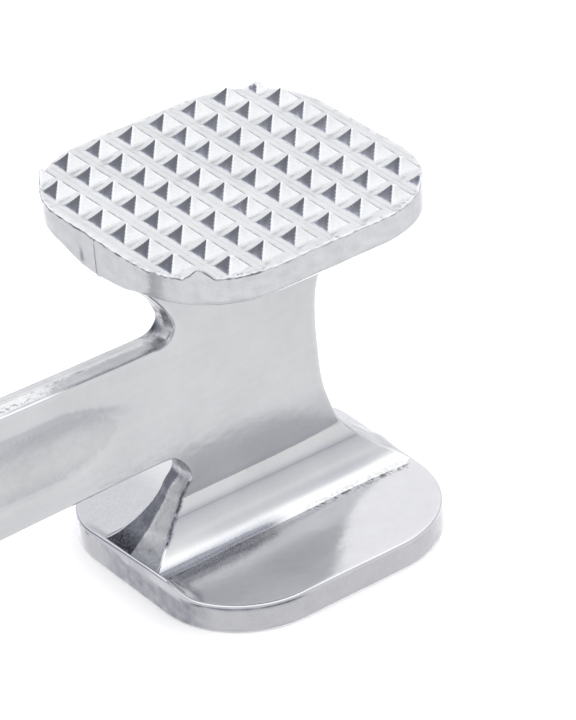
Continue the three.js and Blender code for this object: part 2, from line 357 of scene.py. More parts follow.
def vertex_normals(mesh):
    return read_vectors(mesh.vertex_normals, "vector")


def put_attribute(mesh, name, values):
    attribute = mesh.attributes.new(name, "FLOAT", "POINT")
    attribute.data.foreach_set("value", np.asarray(values, np.float32))


# ---------------------------------------------------------------------------
# plate outline, shared by both plates
# ---------------------------------------------------------------------------
# (sign of x, sign of y, start angle) of each corner, and the heading of the side after it
CORNERS = [(1, 1, 0, (-1, 0)), (-1, 1, 90, (0, -1)), (-1, -1, 180, (1, 0)), (1, -1, 270, (0, 1))]
SIDE_STEPS = 26
CORNER_POINTS = 44
SEAM_OFFSETS = (-0.6, -0.33, -0.2, -0.08, 0.05, 0.2, 0.33, 0.6)


def outline(inset):
    """Rounded square, counter-clockwise seen from above."""
    radius = PLATE_CORNER_R - inset
    centre = (PLATE_HALF - inset) - radius
    points = []
    for sign_x, sign_y, start, heading in CORNERS:
        for k in range(CORNER_POINTS):
            a = math.radians(start + 90.0 * k / (CORNER_POINTS - 1))
            points.append((sign_x * centre + radius * math.cos(a),
                           sign_y * centre + radius * math.sin(a)))
        last = points[-1]
        travels = [2 * centre * k / SIDE_STEPS for k in range(1, SIDE_STEPS)]
        if heading[0] == 0:      # the left and right sides get more points round y = 0
            travels = sorted(travels + [centre + offset for offset in SEAM_OFFSETS])
        for travel in travels:
            points.append((last[0] + heading[0] * travel, last[1] + heading[1] * travel))
    return np.array(points)


def outward(loop):
    return loop / np.linalg.norm(loop, axis=1)[:, None]


def edge_distance(xy):
    """Distance inwards from the plate outline."""
    past = np.abs(np.asarray(xy, float)) - (PLATE_HALF - PLATE_CORNER_R)
    corner = np.hypot(np.maximum(past[:, 0], 0), np.maximum(past[:, 1], 0))
    return PLATE_CORNER_R - (corner + np.minimum(np.maximum(past[:, 0], past[:, 1]), 0))


def round_over(distance, radius):
    """Drop of a rounded rim at a distance inwards from the outline."""
    # the curve is vertical at 0, so rounding noise is cleared first
    distance = np.where(distance < 2e-3, 0.0, np.clip(distance, 0, radius))
    return radius - np.sqrt(np.maximum(radius * radius - (radius - distance) ** 2, 0))


def underside_mesh(inset, margin):
    """Points and triangles that close a plate below, with a coarse grid inside the margin."""
    loop = outline(inset)
    grid = np.array([(x, y) for x in np.arange(-28, 28.1, 1.4) for y in np.arange(-28, 28.1, 1.4)])
    grid = grid[edge_distance(grid) > margin]
    return triangulate(np.vstack([loop, grid]), len(loop))


# ---------------------------------------------------------------------------
# toothed plate
# ---------------------------------------------------------------------------
# small differences of height and place from tooth to tooth
rng = np.random.default_rng(41)
tooth_rise = rng.normal(0, 0.035, (TEETH, TEETH))
tooth_shift = rng.normal(0, 0.035, (TEETH, TEETH, 2))
TOOTH_LINE = (np.arange(TEETH) - (TEETH - 1) / 2) * PITCH
TOOTH_CENTRES = np.stack(np.meshgrid(TOOTH_LINE, TOOTH_LINE, indexing="ij"), -1) + tooth_shift
# (column, row): height missing from the worn teeth at the corners
WORN = {(0, 0): 0.55, (7, 0): 0.75, (0, 7): 0.5, (7, 7): 1.15,
        (0, 1): 0.12, (1, 0): 0.14, (7, 1): 0.2, (6, 0): 0.16}
# mesh points of a tooth: half widths of nested squares, and steps back from their corners
TOOTH_SQUARES = [0.07, 0.14, 0.26, 0.45, 0.75, 1.1, 1.45, 1.8, 2.08, 2.22, 2.32, 2.42, 2.55, 2.85]
CORNER_STEPS = (0.07, 0.16, 0.3, 0.6, 1.0, 1.5, 2.1)
# share of the way down the rim for each ring of points
TOOTHED_RIM = [0.012, 0.026, 0.045, 0.08, 0.2, 0.35, 0.5, 0.65, 0.8, 0.9, 1.0]
TOOTHED_UNDER_INSET = 0.34
# (inset, height) of the rings that round the lower rim
TOOTHED_FOOT = [(0.06, 0.25), (0.17, 0.1), (TOOTHED_UNDER_INSET, 0.0)]


def tooth_height(xy):
    """Height of the toothed face over its floor, and how near each point is to an arris or tip."""
    xy = np.asarray(xy, float)
    cell = np.clip(np.round(xy / PITCH + (TEETH - 1) / 2).astype(int), 0, TEETH - 1)
    column, row = cell[:, 0], cell[:, 1]
    offset = np.abs(xy - TOOTH_CENTRES[column, row])
    reach = smooth_max(offset[:, 0], offset[:, 1], 0.12)
    full = TOOTH_HEIGHT + tooth_rise[column, row]
    for (worn_column, worn_row), loss in WORN.items():
        full = np.where((column == worn_column) & (row == worn_row), full - loss, full)
    down = (reach - TOOTH_TIP) / (TOOTH_HALF - TOOTH_TIP)
    height = TOOTH_HEIGHT * (1 - down) * (1 - 0.17 * np.clip(down, 0, 1))
    height = -smooth_max(-height, -full, 0.14)
    height = smooth_max(height, np.zeros_like(height), 0.2)
    # fine mould line along the middle of every valley that runs across the handle
    from_valley = np.abs(xy[:, 0] - np.round(xy[:, 0] / PITCH) * PITCH)
    height = np.where(height < 0.25, height + bell(from_valley, 0, 0.2) * 0.022, height)
    arris = bell(np.abs(offset[:, 0] - offset[:, 1]), 0, 0.16) * (height > 0.25)
    return height, np.clip(arris + bell(reach, 0, 0.3), 0, 1)


def toothed_surface(xy):
    height, _ = tooth_height(xy)
    distance = edge_distance(xy)
    flat = np.column_stack([xy, np.zeros(len(xy))])
    ragged = 0.11 * np.clip(cast_fine(flat), -0.6, 1) * ease(1 - distance / 0.8)
    burr = 0.03 * bell(distance, 0.35, 0.22)      # stands along the rim
    return (TOOTH_FLOOR + height - round_over(distance, 0.17) * 0.9 + ragged
            + 0.035 * cast_slow(flat) + 0.012 * cast_mid(flat) + burr)


def toothed_underside(xy):
    near_side = rise(np.abs(xy[:, 0]), 25.6, 3.0)
    sag = np.where(xy[:, 0] < 0, toothed_sag(xy[:, 1]), toothed_sag(-xy[:, 1]) * 0.9)
    return TOOTHED_UNDER - sag * near_side


def toothed_grid():
    """Mesh points inside the rim: nested squares on every tooth, lines along the valleys."""
    points = []
    for x, y in TOOTH_CENTRES.reshape(-1, 2):
        points.append((x, y))
        for reach in TOOTH_SQUARES:
            offsets = [reach] + [reach - back for back in CORNER_STEPS if back < reach - 0.02]
            if len(offsets) > 1 and offsets[-1] > 0.08:
                offsets.append(0.0)
            row = sorted(set([round(o, 4) for o in offsets] + [round(-o, 4) for o in offsets]))
            for offset in row:
                points += [(x + offset, y + reach), (x + offset, y - reach)]
                if abs(offset) < reach - 1e-6:
                    points += [(x + reach, y + offset), (x - reach, y + offset)]
    for k in range(-(TEETH // 2), TEETH // 2 + 1):
        valley = k * PITCH
        for offset in (-0.3, -0.14, -0.06, 0.0, 0.06, 0.14, 0.3):
            points += [(valley + offset, y) for y in np.arange(-28.4, 28.5, 0.55)]
        for offset in (-0.35, 0.0, 0.35):
            points += [(x, valley + offset + 0.011) for x in np.arange(-28.4, 28.5, 0.62)]
    points = np.array(points)
    points = points[edge_distance(points) > 0.46]
    return np.unique(np.round(points, 3), axis=0)


def toothed_rim_rings(loop, top):
    """Rings of points down the rim, from just under its upper edge to the underside."""
    bottom = toothed_underside(loop)
    x, y = loop.T
    rings = []
    for share in TOOTHED_RIM:
        z = top + (bottom + 0.45 - top) * share
        places = np.column_stack([loop, z])
        out = 0.03 * cast_slow(places) + 0.012 * cast_mid(places)
        # parting line down the left and right sides
        out = np.minimum(out, 0.05) - 0.02 + 0.06 * bell(y, 0, 0.16)
        nub = bell(y, 4.4, 0.5) * bell(z - bottom, 0.9, 0.55) * (x < 0)
        swell = 0.25 + 0.75 * min(1.0, share * 3)
        moved = loop + outward(loop) * (out + 0.42 * nub)[:, None] * swell
        rings.append(np.column_stack([moved, z]))
    for inset, height in TOOTHED_FOOT:
        rings.append(np.column_stack([outline(inset), bottom + height]))
    return rings


def build_toothed():
    loop = outline(0.0)
    inner_rings = [outline(inset) for inset in (0.05, 0.12, 0.22, 0.36)]
    xy, triangles = triangulate(np.vstack([loop] + inner_rings + [toothed_grid()]), len(loop))
    shell = Shell()
    start = shell.add(np.column_stack([xy, toothed_surface(xy)]))
    shell.add_triangles(start, triangles)

    top = toothed_surface(loop)
    rings = toothed_rim_rings(loop, top)
    starts = [shell.add(ring) for ring in rings]
    # this ring is welded to the edge of the toothed face
    first = shell.add(np.column_stack([loop, top]))
    shell.join_rings([first] + starts, len(loop))

    under, triangles = underside_mesh(TOOTHED_UNDER_INSET, margin=1.0)
    # the edge of the underside takes the heights of the last rim ring
    gap, index = nearest(rings[-1][:, :2], under)
    height = np.where(gap < 1e-3, rings[-1][index, 2], toothed_underside(under))
    start = shell.add(np.column_stack([under, height]))
    shell.add_triangles(start, triangles)

    obj = shell.to_object("toothed_strike_plate_cast")
    mark_toothed(obj.data)
    set_toothed_normals(obj.data)
    return obj


def mark_toothed(mesh):
    """Wear with painted highlights, rough rim, dark marks and painted shade, as attributes for the
    material.
    """
    places = vertex_places(mesh)
    x, y, z = places.T
    height, near_arris = tooth_height(places[:, :2])
    distance = edge_distance(places[:, :2])
    on_top = z > TOOTH_FLOOR - 0.1
    side = (~on_top) & (distance < 0.3)

    # brighter metal on arrises, along the upper rim and in a patch on the left side: partly wear,
    # partly painted highlight
    wear_and_highlight = np.where(on_top, near_arris, 0) * (height > 0.1)
    wear_and_highlight = np.maximum(wear_and_highlight, bell(distance, 0.18, 0.25) * on_top * 0.9)
    patch = (side * (x < -20) * rise(y, 0.1, 0.2) * fall(y, 5.6, 2.5)
             * np.clip(0.55 + 0.6 * cast_mid(places * 1.3), 0, 1))
    rim = side * (0.6 + 0.25 * cast_mid(places * 0.8))
    put_attribute(mesh, "wear_and_highlight", np.maximum(wear_and_highlight, np.maximum(patch, rim)))
    put_attribute(mesh, "zone", side * 0.6)
    put_attribute(mesh, "polish", on_top * 0.35)

    # dark line under the upper rim, mostly left and front
    jagged = np.clip(cast_fine(places) * 1.2 + 0.25, 0, 1)
    where = rise(-x, 6, 14) + 0.45 * rise(-y, 18, 6)
    edge_line = (bell(z - toothed_surface(places[:, :2]), -0.08, 0.15) * (distance < 0.12)
                 * jagged * np.clip(where, 0, 1))
    # painted shade in the creases at the feet of the teeth
    crease = (bell(height, 0.09, 0.05) * on_top * (0.06 + 0.22 * np.clip(cast_mid(places), 0, 1))
              * (distance > 0.6))
    # dark seam and fleck on the left side
    seam = (side * (x < 0) * bell(y, -0.05, 0.13)
            * np.clip(0.5 + 0.5 * cast_fine(places), 0.1, 0.75))
    fleck = side * (x < 0) * bell(y, 4.1, 0.35) * bell(z, 66.6, 0.8) * 0.8
    put_attribute(mesh, "dirt_and_painted_shade", np.clip(0.92 * edge_line + crease + seam + fleck, 0, 0.9))


def set_toothed_normals(mesh):
    """Normals worked out from the surface itself on the toothed face."""
    places = vertex_places(mesh)
    xy = places[:, :2]
    reach = 0.012
    slopes = [(toothed_surface(xy + shift) - toothed_surface(xy - shift)) / (2 * reach)
              for shift in np.array([(reach, 0), (0, reach)])]
    exact = np.column_stack([-slopes[0], -slopes[1], np.ones(len(xy))])
    exact /= np.linalg.norm(exact, axis=1)[:, None]
    use = ((places[:, 2] > TOOTH_FLOOR - 0.1) & (edge_distance(xy) > 0.5))[:, None]
    normals = np.where(use, exact, vertex_normals(mesh))
    mesh.normals_split_custom_set_from_vertices([tuple(v) for v in normals])


# ---------------------------------------------------------------------------
# smooth plate
# ---------------------------------------------------------------------------
SMOOTH_FOOT_Z = 0.5          # the lower rim is rounded below this height
SMOOTH_UNDER_INSET = 0.5
SMOOTH_RIM = [0.02, 0.045, 0.075, 0.11, 0.2, 0.34, 0.5, 0.66, 0.8, 0.92, 1.0]
# (inset, z) of the rings that round the lower rim
SMOOTH_FOOT = [(0.04, 0.3), (0.14, 0.13), (0.3, 0.03), (SMOOTH_UNDER_INSET, 0.0)]


def smooth_surface(xy):
    x, y = xy.T
    places = np.column_stack([xy, np.full(len(xy), 5.0)])
    left = rise(-x, 26.3, 1.9)
    right = rise(x, 26.3, 1.9)
    z = SMOOTH_TOP + smooth_lip(y) * left + 0.5 * smooth_lip(-y) * right
    z = z + 0.035 * cast_slow(places * 0.5) + 0.006 * cast_mid(places)
    return z - round_over(edge_distance(xy), 0.42)


def build_smooth():
    loop = outline(0.0)
    count = len(loop)
    inner_rings = [outline(inset) for inset in (0.05, 0.12, 0.22, 0.34, 0.5)]
    grid = np.array([(x + 0.31 * (k % 2), y) for k, y in enumerate(np.arange(-28, 28.1, 0.62))
                     for x in np.arange(-28, 28.1, 0.62)])
    grid = grid[edge_distance(grid) > 0.85]
    xy, triangles = triangulate(np.vstack([loop] + inner_rings + [grid]), count)
    shell = Shell()
    start = shell.add(np.column_stack([xy, smooth_surface(xy)]))
    shell.add_triangles(start, triangles)

    top = smooth_surface(loop)
    starts = [shell.add(np.column_stack([loop, top]))]
    for share in SMOOTH_RIM:
        z = top + (SMOOTH_FOOT_Z - top) * share
        places = np.column_stack([loop, z])
        out = np.minimum(0.03 * cast_slow(places) + 0.01 * cast_mid(places) - 0.02, 0)
        moved = loop + outward(loop) * out[:, None]
        starts.append(shell.add(np.column_stack([moved, z])))
    for inset, z in SMOOTH_FOOT:
        starts.append(shell.add(np.column_stack([outline(inset), np.full(count, z)])))
    shell.join_rings(starts, count)

    under, triangles = underside_mesh(SMOOTH_UNDER_INSET, margin=1.2)
    start = shell.add(np.column_stack([under, np.zeros(len(under))]))
    shell.add_triangles(start, triangles)
    obj = shell.to_object("smooth_strike_plate_cast")
    mark_smooth(obj.data)
    return obj


def mark_smooth(mesh):
    """Wear with painted highlights, rough rim, specks and painted shade, as attributes for the
    material.
    """
    places = vertex_places(mesh)
    x, y, z = places.T
    distance = edge_distance(places[:, :2])
    # brighter lines along the upper and lower rims: partly wear, partly painted highlight
    put_attribute(mesh, "wear_and_highlight", bell(distance, 0.15, 0.22) * (z > 4.8)
                  + 0.6 * bell(distance, 0.15, 0.2) * (z < 0.5))
    # dark specks along the foot of the web, right of the middle
    from_foot = np.abs(np.abs(y) - (9.75 + foot_shift(x)))
    put_attribute(mesh, "speck", 0.85 * bell(from_foot, 0, 0.8) * rise(x, 1, 6)
                  * fall(x, 27.8, 1.5) * (z > 5))
    # the part below the upper face is marked as a zone: rougher, and darkened in the material as
    # painted shade near the floor
    upper = rise(z, 5.15, 0.3)
    put_attribute(mesh, "zone", 1 - upper)
    put_attribute(mesh, "polish", 0.25 * upper)

    # painted dark reflection: a line under the upper rim at the front left corner and on the left
    # side
    under_rim = bell(z, 4.95, 0.2) * (distance < 0.05)
    front_left = (np.clip(0.85 + 0.4 * waves(31, 5.0)(places), 0, 1)
                  * fall(x, -9, 5) * rise(x, -28.3, 1.5) * (y < -12))
    left = 0.8 * np.clip(0.2 + waves(32, 2.2)(places), 0, 1) * rise(-x, 24, 3) * (y > -4)
    # painted shade: a darker left side, and a darker upper face behind the web's left half
    left_side_shade = (0.40 * fall(y, 10, 8) * rise(y, -22, 6) * (x < -20) * (distance < 0.3) * (z < 5.1)
            * (0.8 + 0.3 * cast_mid(places)))
    rear = 0.19 * fall(x, -6, 8) * rise(y, -9, 5) * (z > 5.2)
    dirt_and_painted_shade = np.maximum.reduce([0.9 * under_rim * np.maximum(front_left, left), left_side_shade, rear])
    put_attribute(mesh, "dirt_and_painted_shade", np.clip(dirt_and_painted_shade, 0, 0.9))


# ---------------------------------------------------------------------------
# web and handle, built as one body
# ---------------------------------------------------------------------------
# kinds of boundary: end of the web, inner corner by the handle, handle bar, sunk in a plate
END, INNER_CORNER, BAR, SUNK = range(4)
# per sample: (x, z) where face meets side, (x, z) of the ridge at mid thickness, radius of
# the rounding between them, unevenness, kind, and amount of parting flash
Edge = namedtuple("Edge", "arris ridge rounding roughness kind flash")
BAR_STYLE = dict(rounding=0.5, roughness=0.015, kind=BAR)


def half_thickness(x, z):
    """Half thickness of web and handle, with the hollow in the handle's faces."""
    thickness = saddle(z) + foot_shift(x) * fall(z, 9.2, 3.2)
    middle = (handle_top(x) + handle_low(x)) / 2 + 0.2
    from_end = np.where(x > -100, HOLLOW_X[0] - x, x - HOLLOW_X[1])
    half = HOLLOW_HALF * np.sqrt(np.clip(from_end / 17.0, 0.0004, 1))
    off_middle = np.clip(np.abs(z - middle) / half, 0, 1)
    depth = HOLLOW_DEPTH * ease(from_end / 20.0) * (1 - off_middle ** 2.6) ** 1.6
    dip = np.where(from_end > 0, depth, 0)
    places = np.column_stack([x, np.zeros_like(x), z])
    flat = rise(z, 17.2, 7) * fall(z, 64, 8)
    return (thickness - dip + 0.022 * cast_slow(places * 0.55) * (0.12 + 0.88 * flat)
            + 0.004 * cast_mid(places) * (0.2 + 0.8 * flat))


def boundary():
    """Samples round the body, counter-clockwise seen from the front."""
    samples = []

    def add(x, z, ridge_x, ridge_z, rounding, roughness, kind, flash=0.0):
        if kind == END:
            # no rounding inside the plates, where the outline turns its corners
            rounding *= float(np.clip((z - 5.45) / 0.8, 0, 1) * np.clip((66.45 - z) / 0.8, 0, 1))
        samples.append((x, z, ridge_x, ridge_z, rounding, roughness, kind, flash))

    def add_end(z, side):
        x = float(end_edge(z))
        ridge_x = min(RIDGE_LIMIT, x + float(end_ridge(z)))
        add(side * x, z, side * ridge_x, z, rounding=0.35, roughness=0.06, kind=END)

    def add_sunk(z, start, end):
        for x in np.linspace(start, end, 60)[1:-1]:
            add(x, z, x, z, rounding=0.0, roughness=0, kind=SUNK)

    def add_bar(curve, x, side):
        z = float(curve(x))
        add(x, z, x, z + side * HANDLE_RIDGE, flash=float(rise(-x, 24, 14)), **BAR_STYLE)

    # right end going up, along the top, left end down to the handle
    share = 0.5 - 0.5 * np.cos(np.linspace(0, math.pi, 150))
    heights = WEB_LOW + (WEB_HIGH - WEB_LOW) * share
    for z in heights:
        add_end(z, 1)
    add_sunk(WEB_HIGH, 28.4, -28.4)
    for z in heights[::-1]:
        if z < HIGH_FILLET[0][1]:
            break
        add_end(z, -1)

    # inner corner over the handle; the ridge turns from straight left to square with the curve
    bend = smooth_path(HIGH_FILLET, 0.32)
    reach = 0.45
    for i, (x, z) in enumerate(bend[:-1]):
        before, after = bend[max(0, i - 1)], bend[i + 1]
        tangent = (after - before) / np.linalg.norm(after - before)
        turn = min(1.0, i / 6)
        add(x, z, x - (-tangent[1] * reach * turn + (1 - turn) * reach),
            z - tangent[0] * reach * turn,
            rounding=0.35 + 0.2 * turn, roughness=0.12, kind=INNER_CORNER)

    # the handle: upper edge, round tip, lower edge
    stations = np.concatenate([np.arange(-20.6, -60, -0.55),
                               np.arange(-60, HANDLE_END + 12.4, -1.1)])
    for x in stations:
        add_bar(handle_top, x, 1)
    for k in range(1, 44):
        a = math.pi / 2 + math.pi * k / 44
        x = HANDLE_END + HANDLE_RIDGE + TIP_R + TIP_R * math.cos(a)
        z = TIP_Z + TIP_R * math.sin(a)
        add(x, z, x + HANDLE_RIDGE * math.cos(a), z + HANDLE_RIDGE * math.sin(a),
            flash=0.4, **BAR_STYLE)
    for x in stations[::-1]:
        add_bar(handle_low, x, -1)

    # inner corner under the handle
    fillet = resample(LOW_FILLET[::-1], 0.3)
    reach = 0.32
    for i, (x, z) in enumerate(fillet):
        before, after = fillet[max(0, i - 1)], fillet[min(len(fillet) - 1, i + 1)]
        tangent = (after - before) / np.linalg.norm(after - before)
        add(x, z, x + tangent[1] * reach, z - tangent[0] * reach,
            rounding=0.35, roughness=0.05, kind=INNER_CORNER)

    # left end below the handle, then along the bottom
    last_z, last_x = LEFT_LOW[-1]
    fillet_x, fillet_z = LOW_FILLET[0]
    for z in list(np.arange(17.2, 6.0, -0.24)) + [5.8, 5.6, 5.4, 5.2, 5.0]:
        if z <= last_z:
            x = float(left_low(z))
        else:
            x = float(np.interp(z, [last_z, fillet_z], [last_x, fillet_x]))
        ridge_x = -max(float(left_low_ridge(z)), -x + 0.05)
        add(x, z, ridge_x, z, rounding=0.2, roughness=0.1, kind=END)
    add_sunk(WEB_LOW, -28.4, 28.4)

    table = np.array(samples)
    return Edge(table[:, 0:2], table[:, 2:4], *table[:, 4:].T)


def front_points(xz):
    x, z = xz.T
    return np.column_stack([x, -half_thickness(x, z), z])


def mid_points(xz):
    return np.column_stack([xz[:, 0], np.zeros(len(xz)), xz[:, 1]])


def face_outline(edge):
    """Outline of the flat of a face: the arris moved inwards by the rounding."""
    tangent = np.roll(edge.arris, -1, axis=0) - np.roll(edge.arris, 1, axis=0)
    tangent /= np.linalg.norm(tangent, axis=1)[:, None]
    inwards = np.column_stack([-tangent[:, 1], tangent[:, 0]])
    return edge.arris + inwards * edge.rounding[:, None]


def side_rings(edge, face_loop):
    """Rings from the front face over the rounding and the ridge to the back face."""
    inner, corner, ridge = front_points(face_loop), front_points(edge.arris), mid_points(edge.ridge)
    across = ridge - corner
    width = np.linalg.norm(across, axis=1)
    outer = corner + across * (np.minimum(edge.rounding, 0.45 * width) / width)[:, None]
    rings = []
    for t in (0.0, 0.2, 0.4, 0.6, 0.8, 1.0):
        rings.append((1 - t) ** 2 * inner + 2 * t * (1 - t) * corner + t * t * outer)
    rounding_rings = len(rings)
    # straight slopes at the ends of the web, bowed ones along corners and handle
    bowed = ((edge.kind == INNER_CORNER) | (edge.kind == BAR))[:, None]
    for t in (0.03, 0.07, 0.12, 0.2, 0.34, 0.48, 0.62, 0.74, 0.84, 0.91, 0.96, 1.0):
        bow = 1 - (1 - t) ** 2
        straight = outer + (ridge - outer) * t
        curved = outer + (ridge - outer) * np.array([bow, t, bow])
        rings.append(np.where(bowed, curved, straight))

    out = edge.ridge - edge.arris
    length = np.linalg.norm(out, axis=1)[:, None]
    out = np.where(length > 1e-6, out / np.maximum(length, 1e-6), 0)
    fine, medium, tear = waves(11, 0.9), waves(12, 2.6), waves(13, 1.1)
    for k in range(rounding_rings, len(rings)):
        ring = rings[k]
        bump = (edge.roughness * (0.8 * medium(ring) + 0.5 * fine(ring))
                * ease((k - rounding_rings + 1) / 3))
        # trimmed, ragged parting flash along the handle
        flash = (edge.flash * (0.10 + 0.09 * np.clip(tear(ring), -1, 1))
                 * bell(np.abs(ring[:, 1]), 0, 0.28))
        amount = np.minimum(bump, 0.02) + flash
        ring[:, 0] += out[:, 0] * amount
        ring[:, 2] += out[:, 1] * amount
    for ring in rings:
        ring[:, 0] = np.clip(ring[:, 0], HANDLE_END, PLATE_HALF - 0.02)
    return rings + [ring * [1, -1, 1] for ring in rings[:-1][::-1]]


def hole_circle(radius):
    a = np.linspace(0, 2 * math.pi, HOLE_SEGMENTS + 1)[:-1]
    return np.column_stack([HOLE_X + radius * np.cos(a), TIP_Z + radius * np.sin(a)])


def face_grid(face_loop):
    """Mesh points inside the outline of a face, clear of the hanging hole."""
    heights = np.concatenate([np.arange(5.3, 7, 0.2), np.arange(7.0, 15.3, 0.33),
                              np.arange(15.4, 17.9, 0.19), np.arange(18.2, 54, 0.9),
                              np.arange(54, 66.9, 0.4)])
    web = []
    for k, z in enumerate(heights):
        spacing = 0.5 if z < 7 else 0.9
        web += [(x + 0.5 * spacing * (k % 2), z) for x in np.arange(-28, 28.1, spacing)]
    right = [p for p in web if p[0] > -19.5]
    left = [p for p in web if p[0] <= -19.5 and not 22 < p[1] < 49]
    bar = [(x + 0.6 * (k % 2), z) for k, z in enumerate(np.arange(23.5, 48, 0.6))
           for x in np.arange(-205, -19, 1.2)]
    points = np.array(right + left + bar)
    points = points[inside(points, face_loop, 0.28)]
    return points[np.linalg.norm(points - [[HOLE_X, TIP_Z]], axis=1) > 6.4]


def build_body():
    edge = boundary()
    count = len(edge.arris)
    face_loop = face_outline(edge)
    shell = Shell()
    shell.join_rings([shell.add(ring) for ring in side_rings(edge, face_loop)], count)

    # front and back faces, open at the hanging hole
    circles = [hole_circle(radius) for radius in (HOLE_MOUTH_R, 5.3, 6.0)]
    hole_edges = [(count + i, count + (i + 1) % HOLE_SEGMENTS) for i in range(HOLE_SEGMENTS)]
    xz, triangles = triangulate(np.vstack([face_loop] + circles + [face_grid(face_loop)]),
                                count, hole_edges)
    centres = xz[np.array(triangles)].mean(1)
    keep = np.linalg.norm(centres - [[HOLE_X, TIP_Z]], axis=1) > HOLE_MOUTH_R - 0.02
    triangles = [t for t, kept in zip(triangles, keep) if kept]
    front = front_points(xz)
    start = shell.add(front)
    back_start = shell.add(front * [1, -1, 1])
    shell.add_triangles(start, triangles)
    shell.add_triangles(back_start, [t[::-1] for t in triangles])

    # wall of the hanging hole, with a broken edge each side
    mouth = half_thickness(circles[0][:, 0], circles[0][:, 1])
    starts = []
    for share, radius in HOLE_WALL + [(-s, r) for s, r in HOLE_WALL[::-1]]:
        x, z = hole_circle(radius).T
        starts.append(shell.add(np.column_stack([x, -mouth * share, z])))
    shell.join_rings(starts, HOLE_SEGMENTS)

    obj = shell.to_object("body")
    normals = body_normals(obj.data)
    mark_body(obj.data, edge)
    for i, axis in enumerate("xyz"):
        put_attribute(obj.data, "n" + axis, normals[:, i])
    return obj


def body_normals(mesh):
    """Vertex normals, worked out from the surface itself on the two faces."""
    normals = vertex_normals(mesh)
    x, y, z = vertex_places(mesh).T
    reach = 0.03
    on_face = np.abs(np.abs(y) - half_thickness(x, z)) < 4e-4
    slope_x = (half_thickness(x + reach, z) - half_thickness(x - reach, z)) / (2 * reach)
    slope_z = (half_thickness(x, z + reach) - half_thickness(x, z - reach)) / (2 * reach)
    exact = np.column_stack([-slope_x, np.sign(y), -slope_z])
    exact /= np.linalg.norm(exact, axis=1)[:, None]
    use = on_face & (np.abs(y) > 1.2) & ((exact * normals).sum(1) > 0.9)
    return np.where(use[:, None], exact, normals)


def mark_body(mesh, edge):
    """Wear, painted highlights, rough ends, dark streaks, specks and painted shade, as attributes
    for the material.
    """
    places = vertex_places(mesh)
    x, y, z = places.T
    depth = np.abs(y)
    folded = np.column_stack([x, depth, z])       # both halves brought to +y
    shown = edge.kind != SUNK
    arris = front_points(edge.arris[shown]) * [1, -1, 1]
    kind = edge.kind[shown]
    from_arris, index = nearest(arris, folded)
    from_ridge, _ = nearest(mid_points(edge.ridge[shown]), folded)
    near = np.minimum(from_arris, from_ridge)
    arris_depth = arris[index, 1]
    kind = kind[index]
    side = depth < arris_depth - 0.25
    at_end = (kind == END) | (kind == INNER_CORNER)
    rough = side * np.where(at_end, 1.0, 0.55)
    left = x < 0

    # painted dark reflection along the front arris of the left end below the handle
    painted_arris_line = (1.15 * bell(from_arris, 0, 0.36) * left * rise(z, 8.4, 1.2) * at_end
             * np.clip(0.95 + 0.35 * waves(21, 1.6)(places), 0, 1) * (z < 18.2) * (y < 0))
    # painted shade: a thin line in the inner corner under the handle
    low_corner = 0.8 * bell(from_arris, 0, 0.22) * left * (z > 19) * (z < 25) * at_end
    # painted shade on the rear half of the left end below the handle, and on its foot
    rear = 0.50 * side * at_end * (y > 0.12) * left * (z < 18.5)
    foot = 0.5 * side * at_end * left * fall(z, 9.8, 3.4)
    # painted shade in the inner corner over the handle: blotches, one dark blob and a line along the
    # arris
    corner = (kind == INNER_CORNER) * (z > 45) * side
    blob = 0.9 * corner * bell(y, 1.9, 1.15) * bell(x, -17.2, 1.5) * bell(z, 48.2, 1.8)
    mottle = -0.1 + 0.75 * waves(23, 2.2)(places) + 0.5 * waves(24, 0.7)(places)
    blotch = 0.7 * corner * np.clip(mottle, 0, 0.7)
    rim = (0.75 * bell(from_arris, 0, 0.24) * (x < -10) * (z > 45.5) * (x > -24) * at_end
           * (np.abs(depth - arris_depth) > 0.02))
    # faint shade across the lower faces, and a darker one along their foot
    veil = 0.15 * rise(z, 15.5, 0.6) * fall(z, 27, 7) * (depth > 2.0) * rise(x, -24, 6)
    low = 0.52 * fall(z, 7.3, 1.5) * fall(x, 2, 7) * (~side)
    dirt_and_painted_shade = np.clip(np.maximum.reduce(
        [painted_arris_line, low_corner, rear + foot, blotch, blob, rim, veil, low]), 0, 0.94)

    # upper side of the handle: two dark streaks and a line of specks along it
    bar = (rough > 0.3) & (rough < 0.8) & (z > 45) & (x < -18)
    streaks = 0.26 * bell(y, 1.12, 0.2) + 0.36 * bell(y, -2.37, 0.2)
    streaks = bar * streaks * np.clip(0.75 + 0.4 * waves(27, 9.0)(places), 0, 1)
    dirt_and_painted_shade = np.maximum(dirt_and_painted_shade, streaks)
    torn = bar * 0.62 * bell(y, -1.35, 0.5) * rise(-x, 36, 12)
    foot_specks = 0.22 * bell(z, 5.8, 0.35) * rise(x, 1, 6) * fall(x, 27.8, 1.5) * (rough < 0.2)
    end_specks = 0.07 * (rough > 0.2) * fall(z, 19, 3) * left
    # painted highlight: lighter lower faces of the web
    low_face_highlight = 0.8 * fall(z, 10.5, 4) * (depth > 3) * (rough < 0.2)

    put_attribute(mesh, "speck", torn + foot_specks + end_specks)
    # wear near arrises and ridges is partly a painted highlight; the top of the bar is lightened as
    # a painted highlight
    put_attribute(mesh, "wear_and_highlight", np.maximum.reduce(
        [bell(near, 0, 0.42), low_face_highlight, bar * 0.8 * rise(-x, 30, 8)]))
    put_attribute(mesh, "zone", rough)
    put_attribute(mesh, "dirt_and_painted_shade", dirt_and_painted_shade)
    put_attribute(mesh, "polish", (rough < 0.2) * fall(z, 18.0, 1.6))


